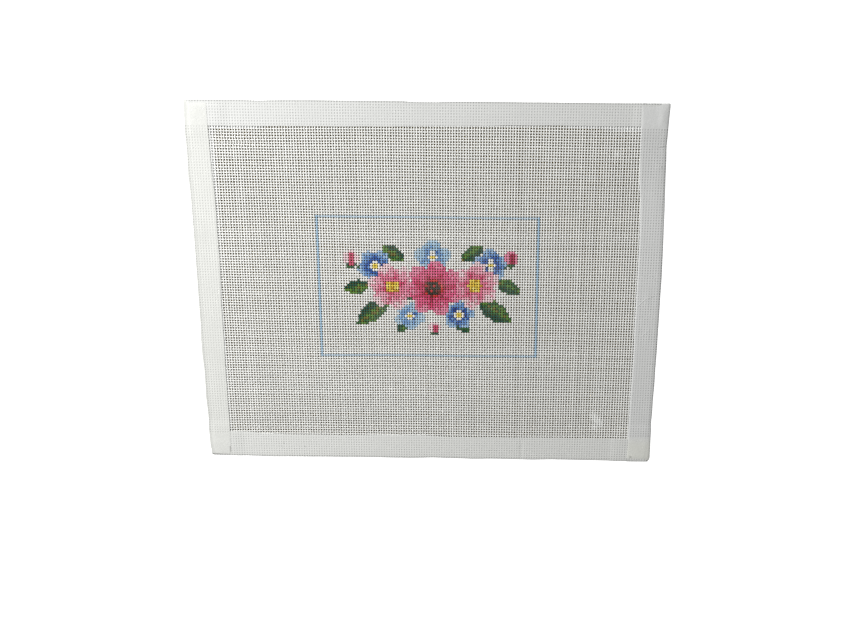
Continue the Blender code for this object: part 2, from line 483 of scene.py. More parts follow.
# %% [markdown]
# From one repeat to a band of mesh
#
# Two Array modifiers, one to the right and one upwards, copy the repeat and weld each copy to the last
# one. From tape to tape there are 160 upright and 124 level threads, far more faces than one piece
# should hold, so the mesh is made as five bands of 32 upright threads. An Array can also shift the flat
# map by one tile for each copy. At last every cut end is closed with a small cap. The rim of a cap is
# sharp, or smooth shading would tilt the light on the threads where two bands meet.

# %% Array the repeat and close the ends
WELD = 0.02 * MM
CAP_SPOT = 0.985
CAP_HIGH = 0.008
CAP_WIDE = 0.4


def add_array(obj, offset, count, u_step, v_step):
    """Repeats the object in a line and welds each copy to the one before."""
    array = obj.modifiers.new("repeat", "ARRAY")
    array.count = count
    array.use_relative_offset = False
    array.use_constant_offset = True
    array.constant_offset_displace = offset
    array.use_merge_vertices = True
    array.merge_threshold = WELD
    array.offset_u = u_step
    array.offset_v = v_step


repeat = bpy.data.objects.new("repeat", repeat_mesh)
bpy.context.scene.collection.objects.link(repeat)
add_array(repeat, (2 * PITCH, 0, 0), REPEATS[0], 1 / REPEATS[0], 0)
add_array(repeat, (0, 2 * PITCH, 0), REPEATS[1], 0, MAP_TOP / REPEATS[1])
graph = bpy.context.evaluated_depsgraph_get()
plain_band = bpy.data.meshes.new_from_object(repeat.evaluated_get(graph))
bpy.data.objects.remove(repeat)

bm = bmesh.new()
bm.from_mesh(plain_band)
mark = bm.verts.layers.float["upright"]
uv = bm.loops.layers.uv["OFBake"]
rims = [edge for edge in bm.edges if edge.is_boundary]
caps = bmesh.ops.holes_fill(bm, edges=rims, sides=SIDES)["faces"]
for number, cap in enumerate(caps):
    for edge in cap.edges:
        edge.smooth = False
    for corner, loop in enumerate(cap.loops):
        angle = math.tau * corner / len(cap.loops)
        u = (number + 0.5 + CAP_WIDE * math.cos(angle)) / len(caps)
        loop[uv].uv = (u, CAP_SPOT + CAP_HIGH * math.sin(angle))
bm.to_mesh(plain_band)
bm.free()
print("Faces in a band:", len(plain_band.polygons), "of them caps:", len(caps))

# %% [markdown]
# A chart for the painter
#
# A painted canvas is a chart: at each crossing of two threads the painter sets down one dab of one
# colour. So the chart here is a small table of colours, one for each crossing, which begins unpainted
# and is filled by functions, for a blossom, a leaf, a stalk and a bud, from a short list of where each
# one goes. This spray is the lesson's own, in the pinks, blues and greens that such canvases often have.

# %% An empty chart and its colours
UPRIGHTS = (-18, 142)
LEVELS = (-29, 95)
chart = np.zeros((LEVELS[1] - LEVELS[0], UPRIGHTS[1] - UPRIGHTS[0], 4))
chart_j, chart_i = np.mgrid[LEVELS[0]:LEVELS[1], UPRIGHTS[0]:UPRIGHTS[1]] + 0.5
dabs = np.random.default_rng(31).uniform(-1, 1, chart_i.shape)

COLOURS = {
    "rose": ((176, 38, 82), (214, 66, 112), (234, 100, 146), (243, 150, 180)),
    "blush": ((214, 70, 114), (236, 126, 158), (248, 176, 196), (253, 224, 230)),
    "blue": ((28, 62, 142), (48, 98, 178), (112, 158, 216), (170, 204, 236)),
    "sky": ((66, 116, 190), (128, 172, 222), (172, 208, 236), (196, 222, 240)),
    "leaf": ((20, 82, 66), (44, 104, 58), (92, 140, 52), (120, 112, 44)),
    "white": ((226, 222, 206), (244, 242, 232), (250, 248, 240), (250, 250, 246)),
    "yellow": ((204, 150, 40), (238, 202, 70), (246, 220, 96), (248, 232, 140)),
    "red": ((120, 20, 30), (206, 30, 44), (218, 48, 54), (226, 80, 76)),
    "black": ((40, 32, 34), (46, 38, 38), (60, 48, 46), (78, 60, 54)),
}
SHADES = {name: np.array([srgb(*tone) for tone in tones]) for name, tones in COLOURS.items()}
print("Crossings on the chart:", chart.shape[1], "by", chart.shape[0])

# %% [markdown]
# Flowers as sums
#
# On a chart a flower is a set of crossings, each with a lighter or darker shade. So every function here
# works on the whole chart at once: it finds which crossings lie inside the shape, and how deep the
# colour is at each. The rim of a blossom follows a cosine round its middle, and a leaf is a lens from
# its stalk to its tip. A little chance in the depth makes the dabs look set down by hand.

# %% Blossom, leaf, stalk and bud
def dab(where, colour, depth):
    """Paints the crossings in a mask, each with the shade that its depth from 0 to 1 picks."""
    tones = SHADES[colour]
    pick = np.clip(np.floor(depth * len(tones)), 0, len(tones) - 1).astype(int)
    pick = np.broadcast_to(pick, where.shape)
    chart[where, :3] = tones[pick[where]]
    chart[where, 3] = 1.0


def blossom(i, j, radius, petals, turn, colour, heart):
    """An open flower: petals by a cosine round its middle, dark inside and between them."""
    across = chart_i - i
    down = (chart_j - j) * 1.06
    far = np.hypot(across, down)
    bulge = 0.5 + 0.5 * np.cos(petals * (np.arctan2(down, across) - turn))
    rim = radius * (0.72 + 0.28 * np.sqrt(bulge))
    share = far / rim
    depth = 0.10 + 0.86 * share - 0.34 * (1 - bulge) ** 3 + 0.13 * dabs
    dab(share < 1, colour, depth)
    if heart == "poppy":
        dab(far < 0.30 * radius, "red", 0.5 + 0.4 * dabs)
        dab((far < 0.24 * radius) & (dabs > -0.35), "black", 0.3 + 0.3 * dabs)
    if heart == "star":
        dab((far < 0.34 * radius) & (np.minimum(abs(across), abs(down)) < 0.6), "white", 0.8 + 0 * far)
        dab(far < 0.9, "yellow", 0.5 + 0 * far)
    if heart == "sun":
        dab(far < 0.27 * radius, "yellow", 0.45 + 0.4 * dabs)


def leaf(i, j, tip_i, tip_j, wide):
    """A leaf from its stalk to its tip: a lens, light on one side of its midrib."""
    length = math.hypot(tip_i - i, tip_j - j)
    ahead = ((chart_i - i) * (tip_i - i) + (chart_j - j) * (tip_j - j)) / length**2
    aside = ((chart_i - i) * (tip_j - j) - (chart_j - j) * (tip_i - i)) / length
    half = wide * np.sin(math.pi * np.clip(ahead, 0, 1)) ** 0.75
    inside = (ahead > 0) & (ahead < 1) & (abs(aside) < half)
    depth = 0.30 + 0.16 * np.sign(aside) + 0.26 * (abs(aside) < 0.3 * half) + 0.14 * dabs
    dab(inside, "leaf", depth)


def stalk(points):
    """A stem one thread wide through a few points."""
    for (i, j), (to_i, to_j) in zip(points, points[1:]):
        length = math.hypot(to_i - i, to_j - j)
        ahead = ((chart_i - i) * (to_i - i) + (chart_j - j) * (to_j - j)) / length
        aside = abs((chart_i - i) * (to_j - j) - (chart_j - j) * (to_i - i)) / length
        dab((ahead > -0.4) & (ahead < length + 0.4) & (aside < 0.62), "leaf", 0.3 + 0.3 * dabs)


def bud(i, j, radius, colour):
    """A closed bud: a round shape with a dark fold, in a green cup."""
    across = (chart_i - i) / radius
    down = (chart_j - j) / radius
    dab((across**2 + (down - 0.8) ** 2 < 0.42), "leaf", 0.3 + 0.2 * dabs)
    dab(across**2 + down**2 < 1, colour, 0.78 - 0.7 * (abs(across - 0.2) < 0.34) * (down > -0.6))


print("Colours to paint with:", ", ".join(COLOURS))

# %% [markdown]
# Laying out the spray
#
# The order matters as it does with a brush: what is set down later covers what is there. Stems come
# first, then the leaves, the small blue flowers behind, the large blooms, and last the buds. The frame
# line is one thread wide, fainter along the level threads, where less paint took.

# %% Paint the chart
STALKS = (
    ((33.5, 22.5), (40.0, 29.0), (50.0, 35.5), (63.0, 38.0)),
    ((94.5, 21.5), (87.5, 28.5), (78.0, 35.0), (63.0, 38.0)),
)
LEAVES = (
    (47, 37, 34.5, 46.5, 3.6),
    (40, 31, 30, 33.5, 2.7),
    (81, 37, 94.0, 46.0, 3.6),
    (88, 30, 97.5, 34.0, 2.7),
    (57, 42, 50.5, 50, 2.8),
    (71, 42, 78, 50, 2.8),
    (53, 22, 45, 16, 2.8),
    (75, 22, 83, 16, 2.8),
)
BLOSSOMS = (
    (42.0, 24.0, 6.8, 5, 0.3, "blue", "star"),
    (86.0, 23.5, 6.8, 5, 0.9, "blue", "star"),
    (64.0, 20.5, 7.2, 5, -1.57, "sky", "star"),
    (55.0, 43.5, 6.2, 5, 0.2, "sky", "star"),
    (74.0, 43.0, 6.2, 5, 1.0, "blue", "star"),
    (48.5, 32.0, 9.8, 6, 0.2, "blush", "sun"),
    (80.0, 31.5, 9.8, 6, 0.7, "blush", "sun"),
    (64.2, 32.5, 11.6, 7, 0.35, "rose", "poppy"),
)
BUDS = (
    (32.8, 21.0, 2.8, "blush"),
    (93.6, 20.6, 2.8, "rose"),
    (64.5, 48.0, 2.2, "blush"),
)
FRAME_UPRIGHTS = (20.5, 103.5)
FRAME_LEVELS = (5.5, 59.5)
FRAME_BLUE = srgb(154, 200, 232)
FRAME_COVER = {"level": 0.52, "upright": 0.80}

for points in STALKS:
    stalk(points)
for row in LEAVES:
    leaf(*row)
for row in BLOSSOMS:
    blossom(*row)
for row in BUDS:
    bud(*row)
within_i = (chart_i >= FRAME_UPRIGHTS[0]) & (chart_i <= FRAME_UPRIGHTS[1])
within_j = (chart_j >= FRAME_LEVELS[0]) & (chart_j <= FRAME_LEVELS[1])
on_level = np.isin(chart_j, FRAME_LEVELS) & within_i
on_upright = np.isin(chart_i, FRAME_UPRIGHTS) & within_j
chart[on_level] = (*FRAME_BLUE, FRAME_COVER["level"])
chart[on_upright] = (*FRAME_BLUE, FRAME_COVER["upright"])
print("Painted crossings:", int((chart[..., 3] > 0).sum()))

# %% [markdown]
# Making the mesh uneven
#
# A perfect grid looks like a drawing. On a real canvas each thread wanders by a few hundredths of a
# millimetre, is a little thick or thin, and has a slub here and there, and the whole mesh drifts in
# long waves. The drift is a formula on the thread numbers, and the rest is drawn once for each thread
# from a random generator with a fixed seed, so that every run gives the same canvas.

# %% Rules for the unevenness
rng = np.random.default_rng(18)
WANDER = 0.035 * MM
WAVER = 0.030 * MM
THICK_THIN = 0.05
SLUB = 0.22
SLUB_REACH = 2.2
SLUR_PLACE = (-7.5, -21.5)
SLUR_REACH = (6.0, 2.6)

# Swollen spots, where fluff half closes the holes: i, j, reach in threads, and how much wider
KNOTS = (
    (126.7, 83.9, 1.3, 0.42),
    (128.4, 85.5, 1.5, 0.45),
    (129.7, 87.2, 1.2, 0.40),
    (127.3, 88.5, 1.0, 0.35),
    (131.2, -18.3, 1.2, 0.35),
)


def thread_habits(count):
    """The habits of a set of threads: each value is one for each thread."""
    return {
        "shift": rng.normal(0, WANDER, count),
        "waver": rng.uniform(0.3, 1.0, count) * WAVER,
        "long": rng.uniform(14, 44, count),
        "phase": rng.uniform(0, math.tau, count),
        "width": 1 + rng.normal(0, THICK_THIN, count),
        "slub_at": rng.uniform(-30, 140, (3, count)),
        "slub": SLUB * rng.uniform(-0.2, 1.0, (3, count)) * (rng.random((3, count)) < 0.4),
        "tone": rng.normal(0, 1, count),
    }


upright_habits = thread_habits(UPRIGHTS[1] - UPRIGHTS[0])
level_habits = thread_habits(LEVELS[1] - LEVELS[0])


def wandering(habits, number, along):
    """How far a thread strays to its side there, and how wide it is."""
    stray = habits["shift"][number]
    wave = np.sin(math.tau * along / habits["long"][number] + habits["phase"][number])
    stray = stray + habits["waver"][number] * wave
    wide = habits["width"][number].copy()
    for place_at, size in zip(habits["slub_at"], habits["slub"]):
        wide += size[number] * np.exp(-(((along - place_at[number]) / SLUB_REACH) ** 2))
    return stray, wide


def drift(i, j):
    """The long waves that carry the whole mesh along, and one small slur near the upper left corner."""
    dx = 0.35 * MM * np.cos(math.tau * (i - 24) / 116) * (0.6 + 0.4 * np.sin(math.pi * (j + 28) / 121))
    dy = 0.15 * MM * np.sin(math.tau * (i / 150 + j / 90) + 0.6)
    dy = dy + 0.08 * MM * np.sin(math.tau * (i / 61 - j / 70) + 2)
    across = i - SLUR_PLACE[0]
    down = j - SLUR_PLACE[1]
    near = np.exp(-((across / SLUR_REACH[0]) ** 2) - (down / SLUR_REACH[1]) ** 2)
    dy = dy + 0.24 * MM * near * np.sin(down * 1.1)
    dx = dx + 0.26 * MM * near * np.sin((down + 1) * 1.6)
    return dx, dy


widths = upright_habits["width"]
print("Narrowest and widest upright thread:", round(widths.min(), 2), round(widths.max(), 2))

# %% [markdown]
# Five bands of woven mesh
#
# Each band is a copy of the plain one. Its vertices still know whether they belong to an upright or a
# level thread, so every thread is moved as one: out by its own width, aside by its wander, along with
# the drift, and up onto the height of the solid. The paint is stored on the corners of the faces,
# where each face belongs to just one crossing, so two colours meet in the middle of the gap between
# two crossings, as they do on the real thing.

# %% Build the bands
BAND_THREADS = 2 * REPEATS[0]


def settle_band(mesh, first):
    """Moves the plain band to its place in the canvas, and stores its paint and its thread tones."""
    count = len(mesh.vertices)
    flat = np.empty(count * 3)
    mesh.vertices.foreach_get("co", flat)
    flat = flat.reshape(-1, 3)
    marks = np.empty(count, np.float32)
    mesh.attributes["upright"].data.foreach_get("value", marks)
    is_upright = marks > 0.5
    i = first + flat[:, 0] / PITCH
    j = LEVELS[1] - flat[:, 1] / PITCH
    number_i = np.clip(np.floor(i - UPRIGHTS[0]).astype(int), 0, UPRIGHTS[1] - UPRIGHTS[0] - 1)
    number_j = np.clip(np.floor(j - LEVELS[0]).astype(int), 0, LEVELS[1] - LEVELS[0] - 1)
    stray_x, wide_x = wandering(upright_habits, number_i, j)
    stray_y, wide_y = wandering(level_habits, number_j, i)
    for knot_i, knot_j, reach, more in KNOTS:
        swell = 1 + more * np.exp(-(((i - knot_i) / reach) ** 2) - ((j - knot_j) / reach) ** 2)
        wide_x = wide_x * swell
        wide_y = wide_y * swell
    centre_i = number_i + UPRIGHTS[0] + 0.5
    centre_j = number_j + LEVELS[0] + 0.5
    new_i = np.where(is_upright, centre_i + (i - centre_i) * wide_x, i)
    new_j = np.where(is_upright, j, centre_j + (j - centre_j) * wide_y)
    x, y = counted_place(new_i, new_j)
    dx, dy = drift(i, j)
    x = x + dx + np.where(is_upright, stray_x, 0)
    y = y + dy + np.where(is_upright, 0, stray_y)
    tone = np.where(is_upright, upright_habits["tone"][number_i], level_habits["tone"][number_j])
    placed = np.stack([x, y, cloth_height(x, y) + flat[:, 2]], axis=1)

    middles = np.empty(len(mesh.polygons) * 3)
    mesh.polygons.foreach_get("center", middles)
    middles = middles.reshape(-1, 3)
    column = np.floor(first + middles[:, 0] / PITCH).astype(int) - UPRIGHTS[0]
    column = np.clip(column, 0, chart.shape[1] - 1)
    row = np.floor(LEVELS[1] - middles[:, 1] / PITCH).astype(int) - LEVELS[0]
    row = np.clip(row, 0, chart.shape[0] - 1)
    corners = np.empty(len(mesh.polygons), int)
    mesh.polygons.foreach_get("loop_total", corners)
    paint = mesh.color_attributes.new("paint", "FLOAT_COLOR", "CORNER")
    paint.data.foreach_set("color", np.repeat(chart[row, column], corners, axis=0).ravel())
    mesh.attributes.new("tone", "FLOAT", "POINT").data.foreach_set("value", tone.astype(np.float32))
    mesh.vertices.foreach_set("co", placed.ravel())
    mesh.update()
    mesh.shade_smooth()


bands = []
for number in range((UPRIGHTS[1] - UPRIGHTS[0]) // BAND_THREADS):
    mesh = plain_band.copy()
    mesh.name = "mesh_band_" + str(number + 1)
    settle_band(mesh, UPRIGHTS[0] + number * BAND_THREADS)
    band = bpy.data.objects.new(mesh.name, mesh)
    bpy.context.scene.collection.objects.link(band)
    bands.append(band)
print("Bands of mesh:", len(bands), "faces in all:", sum(len(band.data.polygons) for band in bands))

# %% [markdown]
# Measuring the solid tapes
#
# Each tape is folded over an edge, with one lap on the face of the canvas and one on its back. The new
# tape has to lie where the solid one does, so rays measure that one: from outside for the fold, from
# the middle of the panel for the cut edge of the face lap, and from above for the height.

# %% Rays for one side
FACE_PROBE = 0.25 * MM
FOLD_PROBE = 4.0 * MM
END_PASS = 5.0 * MM
SINGLE_HIGH = 2.6 * MM
DOUBLE_LIFT = 1.6 * MM
SIDE_SIGN = {"left": -1, "right": 1, "bottom": -1, "top": 1}


def is_upright_side(side):
    return side in ("left", "right")


def spot(side, along, across, height):
    """A point from its place along a side, across it and its height."""
    return Vector((across, along, height)) if is_upright_side(side) else Vector((along, across, height))


def meet(tree, side, start, heading):
    """Where a ray meets the solid, as (along, across, height), or None."""
    hit = tree.ray_cast(start, heading)[0]
    if hit is None:
        return None
    return (hit.y, hit.x, hit.z) if is_upright_side(side) else (hit.x, hit.y, hit.z)


class SideGauge:
    """Measures one folded tape of the solid model."""

    def __init__(self, side):
        self.side = side
        self.sign = SIDE_SIGN[side]
        self.tree = ray_tree("binding_" + side)
        low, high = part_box("binding_" + side)
        self.ends = (low.y, high.y) if is_upright_side(side) else (low.x, high.x)
        self.level = (low.z + high.z) / 2

    def fold(self, along):
        """How far out the folded edge is."""
        start = spot(self.side, along, self.sign, self.level)
        return meet(self.tree, self.side, start, spot(self.side, 0, -self.sign, 0))[1]

    def top(self, along):
        start = spot(self.side, along, self.fold(along) - self.sign * FOLD_PROBE, 1.0)
        return meet(self.tree, self.side, start, Vector((0, 0, -1)))[2]

    def lap(self, along):
        """Where the cut edge of the face lap is."""
        start = spot(self.side, along, 0.0, self.top(along) - FACE_PROBE)
        return meet(self.tree, self.side, start, spot(self.side, 0, self.sign, 0))[1]

    def end(self, which, inward):
        """How far the tape reaches along its side, so far in from the fold."""
        along = self.ends[which] + (1 - 2 * which) * END_PASS
        across = self.fold(along) - self.sign * inward
        start = spot(self.side, 2 * which - 1, across, self.top(along) - FACE_PROBE)
        return meet(self.tree, self.side, start, spot(self.side, 1 - 2 * which, 0, 0))[0]


gauges = {side: SideGauge(side) for side in SIDE_SIGN}
for side, gauge in gauges.items():
    measured = [round(value / MM, 1) for value in (gauge.fold(0), gauge.lap(0), gauge.top(0))]
    print(side, "tape, mm: fold, lap and top", measured)

# %% [markdown]
# The folded tapes
#
# A tape is one strip, about 25 mm wide, so it is modelled as one grid of points that is bent round the
# edge of the canvas: a face lap, a sharp fold and a back lap. Solidify gives it the thickness of cloth.
# It lies flat on the threads, falls a little past the canvas's own edge, and its cut edge is pressed
# down, which catches the light on the right. The two upright tapes lie over the two level ones, so the
# corners are double.

# %% Sizes of the tapes
TAPE_WIDE = 25.4 * MM
TAPE_THICK = 0.13 * MM
FOLD_RADIUS = 0.65 * MM
FOLD_SQUARE = 0.6
SINK = 0.09 * MM
DOUBLE_SHARE = 0.5
BACK_RISE = 0.12 * MM
BACK_RISE_REACH = 4.0 * MM
# Width of the rim at the cut edge, fall at the fold, and press at the cut edge
EDGE_SOFT = {"left": 0.03 * MM, "right": 0.27 * MM, "top": 0.04 * MM, "bottom": 0.12 * MM}
EDGE_FALL = {"left": 0.04 * MM, "right": 0.20 * MM, "top": 0.05 * MM, "bottom": 0.10 * MM}
RIDGE_IN = 1.7 * MM
LAP_PRESS = {"left": 0.02 * MM, "right": 0.14 * MM, "top": 0.02 * MM, "bottom": 0.05 * MM}
PRESS_REACH = 0.6 * MM
FACE_COLUMNS = 16
FOLD_COLUMNS = 8
BACK_COLUMNS = 11
STATION = 1.04 * MM
FLOOR_GAP = 0.02 * MM
print("Points across a tape:", 3 + FACE_COLUMNS + FOLD_COLUMNS - 1 + BACK_COLUMNS + 1)

# %% [markdown]
# Wrinkles and wavering edges
#
# Stiff tape that was folded by hand keeps a few broad wrinkles, and its edges waver by about a tenth of
# a millimetre. A wrinkle is a low bump or dent with soft sides, so that several can be added up. An edge
# wavers with three sines whose lengths don't fit into one another, so it doesn't seem to repeat.

# %% Wrinkles and waves
# Side, place along the side, distance in from the fold, half length, half width and height, in mm
WRINKLES = (
    ("right", -4.0, 7.0, 5.0, 1.6, 0.10),
    ("right", -23.0, 5.5, 3.5, 1.4, 0.08),
    ("right", 91.5, 3.6, 4.5, 1.5, 0.20),
    ("right", 75.0, 4.4, 1.2, 3.0, -0.10),
    ("right", 66.0, 4.0, 1.0, 1.0, 0.12),
    ("right", 52.0, 5.0, 16.0, 3.0, 0.07),
    ("left", -60.0, 6.0, 18.0, 3.0, 0.06),
    ("left", 30.0, 8.0, 14.0, 2.5, -0.05),
    ("bottom", 53.0, 6.0, 0.9, 8.0, -0.12),
    ("bottom", -40.0, 5.0, 20.0, 3.0, 0.06),
    ("top", 40.0, 6.0, 22.0, 3.0, 0.06),
    ("top", -70.0, 7.0, 12.0, 2.4, 0.05),
)
# Length in mm, turn for each seed, and share of three waves
WAVES = ((7.3, 1.0, 0.5), (3.1, 2.3, 0.3), (17.0, 4.1, 0.25))


def waver(along, seed, amount):
    """A slow, small wandering along an edge."""
    total = 0.0
    for length, turn, share in WAVES:
        total += share * math.sin(along / (length * MM) + turn * seed)
    return amount * total


def wrinkle_height(side, along, inward):
    """The sum of the broad wrinkles at a place on a tape."""
    total = 0.0
    for name, at, depth, half_long, half_wide, high in WRINKLES:
        if name == side:
            off = ((along / MM - at) / half_long) ** 2 + ((inward / MM - depth) / half_wide) ** 2
            total += high * MM * math.exp(-off)
    return total


print("Broad wrinkles:", len(WRINKLES))

# %% [markdown]
# Uneven laps and folds
#
# Nobody cuts and folds a tape quite evenly. Short tables say how far each edge departs from the solid's
# at a few places along the tape, and lengths between these places are read off in between. On the left,
# and at the ends of the top one, the back lap reaches past the face lap and shows white through the
# first holes.

# %% Tables of the edges
# How much wider the face lap is than the solid's, at places along the tape, in mm
LAP_WIDER = {
    "left": ((-98, -0.6), (-90, -0.4), (-84, 0.0), (-40, 0.0), (-30, 0.4), (-7, 0.4), (4, 0.8),
             (15, 1.1), (50, 1.1), (60, 0.6), (81, 0.3), (98, 0.1)),
    "right": ((-98, 0.0), (-75, -0.7), (-64, -0.7), (-50, -0.9), (-40, -1.1), (-30, -1.1), (-18, -0.9),
              (4, -0.8), (15, -0.95), (26, -0.95), (37, -0.6), (50, 0.0), (60, 1.0), (98, 2.2)),
    "top": ((-124, 1.2), (-20, 1.25), (-8, 0.6), (28, 0.5), (38, 0.0), (124, 0.0)),
    "bottom": ((-124, 2.4), (-104, 2.1), (-96, 1.8), (-86, 1.0), (-78, 0.6), (-42, 0.6), (-30, 0.75),
               (-8, 0.7), (2, 0.6), (14, 0.1), (124, 0.0)),
}
# How far the back lap reaches past the cut edge of the face lap, in the same way
BACK_PAST = {
    "left": ((-98, 0.5), (-60, 0.7), (-10, 0.7), (8, 0.7), (30, 0.9), (48, 1.3), (60, 2.0), (98, 2.8)),
    "top": ((-124, 1.5), (-90, 1.2), (-78, -0.6), (62, -0.6), (72, 0.9), (90, 1.7), (99, 2.5), (124, 2.7)),
}
# How much further out than the solid's the fold is
FOLD_OUT = {
    "left": ((-98, -0.3), (-84, -0.4), (-72, -0.45), (-64, 0.0), (-46, 0.0), (-38, 0.4), (-28, 0.4),
             (-20, 0.0), (54, 0.0), (59, 0.35), (65, 0.35), (70, 0.0), (98, 0.0)),
    "right": ((-98, 0.0), (-75, 0.2), (-69, 0.45), (-53, 0.45), (-44, 0.2), (0, 0.3), (8, 0.45),
              (70, 0.45), (82, 0.0)),
    "bottom": ((-124, 0.1), (-100, 0.4), (-88, 0.75), (-60, 0.45), (-36, 0.3), (-19, 0.45),
               (-8, 0.4), (3, 0.0), (26, 0.45), (36, 0.1), (60, 0.4), (70, 0.0)),
    "top": ((-124, 0.0), (-118, 0.5), (-98, 0.5), (-88, 0.0), (-14, 0.0), (-8, -0.4), (3, -0.4),
            (12, 0.0)),
}
# How much shorter than the solid's the tape is at its two ends. A level one reaches on, under the fold
# of the upright tape that covers it
END_TRIM = {
    "left": (0.0, 0.0),
    "right": (0.0, 0.45 * MM),
    "top": (-1.7 * MM, -1.7 * MM),
    "bottom": (-1.7 * MM, -1.7 * MM),
}
# Which end stands up a little, how high and from how far in, and a notch's place, half width and depth
RISING_END = {"right": (1, 0.25 * MM, 5.0 * MM)}
NOTCH = {"left": (-93.6 * MM, 1.2 * MM, 0.25 * MM)}


def from_table(table, along):
    """Reads a length off a table of places along a tape, both in mm."""
    places, lengths = zip(*table)
    return MM * float(np.interp(along / MM, places, lengths))


for side, table in LAP_WIDER.items():
    print(side, "face lap, mm wider at the middle:", round(from_table(table, 0.0) / MM, 2))

# %% [markdown]
# Points across a tape
#
# Going along a tape in steps of a millimetre, each step gives one row of points: from the cut edge of
# the face lap out to the fold, round it, and back along the underside. Where the fold and the cut edge
# are comes from the solid and the tables. The fold itself is a squarish half circle, as high as the
# canvas and the tapes inside it ask.

# %% Rows of points
NEAR_FOLD = 3.0 * MM
NEAR_LAP = 9.0 * MM
EDGE_PROBE = 0.2 * MM
END_PROBE = 1.2 * MM
CANVAS_IN = 2.2 * MM
RISING_REACH = 8.0 * MM
DOUBLE_BOTTOM = 0.4
WAVER_LAP = 0.10 * MM
WAVER_FOLD = 0.05 * MM
WAVER_BACK = 0.15 * MM


def smooth_share(value):
    """An even S from 0 to 1."""
    t = min(max(value, 0.0), 1.0)
    return t * t * (3 - 2 * t)


def tape_ends(side):
    """Where the tape ends near its fold and near its cut edge, for both ends: the solid, the cloth."""
    solid_end = []
    cloth_end = []
    for which in (0, 1):
        trim = (1 - 2 * which) * END_TRIM[side][which]
        places = (gauges[side].end(which, NEAR_FOLD), gauges[side].end(which, NEAR_LAP))
        solid_end.append(places)
        cloth_end.append(tuple(place + trim for place in places))
    return solid_end, cloth_end


def tape_rows(side):
    """The rows of points of a tape, its flat width and length, and the cut edge of its back lap."""
    gauge = gauges[side]
    upright = is_upright_side(side)
    seed = 1.7 * list(SIDE_SIGN).index(side) + 0.4
    solid_end, near_end = tape_ends(side)
    first = max(near_end[0][0], solid_end[0][0])
    last = min(near_end[1][0], solid_end[1][0])
    length = near_end[1][0] - near_end[0][0]
    stations = round(length / STATION) + 1
    tape_width = 0.0
    rows = []
    back_edge = []
    for number in range(stations):
        share = number / (stations - 1)
        at_fold = near_end[0][0] + share * length
        tilt = (1 - share) * (near_end[0][1] - near_end[0][0]) + share * (near_end[1][1] - near_end[1][0])
        fold = gauge.fold(min(max(at_fold, first + EDGE_PROBE), last - EDGE_PROBE))
        probe = min(max(at_fold, first + END_PROBE), last - END_PROBE)
        lap = gauge.lap(probe) + waver(at_fold, seed, WAVER_LAP)
        out_by = from_table(FOLD_OUT[side], at_fold)
        wide = abs(fold - lap) + from_table(LAP_WIDER[side], at_fold) + out_by
        fold += gauge.sign * (out_by - waver(at_fold, seed + 2.0, WAVER_FOLD))
        over_single = max(gauge.top(probe) - SINGLE_HIGH, 0.0)
        doubled = min(over_single / DOUBLE_LIFT, 1.0) if upright else 0.0
        bottom = FLOOR_GAP if upright else FLOOR_GAP + DOUBLE_BOTTOM * over_single
        if side in NOTCH:
            at, half, deep = NOTCH[side]
            fold -= gauge.sign * deep * math.exp(-(((at_fold - at) / half) ** 4))
        lift = 0.0
        if side in RISING_END:
            which, high, reach = RISING_END[side]
            lift = high * (1 - smooth_share((near_end[which][0] - at_fold) * (2 * which - 1) / reach))

        def face_point(inward):
            """A point of the face lap, so far in from the fold."""
            along = at_fold + tilt * max(inward - NEAR_FOLD, 0.0) / (NEAR_LAP - NEAR_FOLD)
            across = fold - gauge.sign * inward
            inside = fold - gauge.sign * max(inward, CANVAS_IN)
            where = spot(side, along, inside, 0.0)
            high = float(cloth_height(where.x, where.y)) + CRIMP + THREAD_HALF_HIGH
            high += TAPE_THICK * (1 + DOUBLE_SHARE * doubled) - SINK
            high -= EDGE_FALL[side] * (1 - smooth_share(inward / RIDGE_IN))
            high -= LAP_PRESS[side] * (1 - smooth_share((wide - inward) / PRESS_REACH))
            high += wrinkle_height(side, along, inward)
            high += lift * (1 - smooth_share(inward / RISING_REACH))
            return along, across, high, inward

        row = [face_point(wide), face_point(wide - EDGE_SOFT[side]), face_point(wide - 0.5 * PRESS_REACH)]
        inner = wide - PRESS_REACH
        for k in range(FACE_COLUMNS):
            row.append(face_point(inner + (FOLD_RADIUS - inner) * k / (FACE_COLUMNS - 1)))
        along, across, crest, _ = row[-1]
        mid = (crest + bottom) / 2
        half_high = (crest - bottom) / 2
        for k in range(1, FOLD_COLUMNS):
            turn = math.pi * k / FOLD_COLUMNS
            out = FOLD_RADIUS * math.sin(turn) ** FOLD_SQUARE
            up = math.copysign(abs(math.cos(turn)) ** FOLD_SQUARE, math.cos(turn))
            row.append((along, across + gauge.sign * out, mid + half_high * up, 0.0))
        fold_path = 2 * (FOLD_RADIUS + half_high)
        back = TAPE_WIDE - (wide - FOLD_RADIUS) - fold_path
        if side in BACK_PAST:
            back = wide - FOLD_RADIUS + from_table(BACK_PAST[side], at_fold)
            back += waver(at_fold, seed + 4.0, WAVER_BACK)
        tape_width += (wide - FOLD_RADIUS + fold_path + back) / stations
        back_edge.append((along, across - gauge.sign * back))
        for k in range(BACK_COLUMNS + 1):
            inward = back * k / BACK_COLUMNS
            high = bottom + BACK_RISE * smooth_share(inward / BACK_RISE_REACH)
            row.append((along, across - gauge.sign * inward, high, inward))
        rows.append([(*spot(side, *point[:3]), point[3]) for point in row])
    return rows, (tape_width, length), back_edge


print("Rows along the left tape:", len(tape_rows("left")[0]))
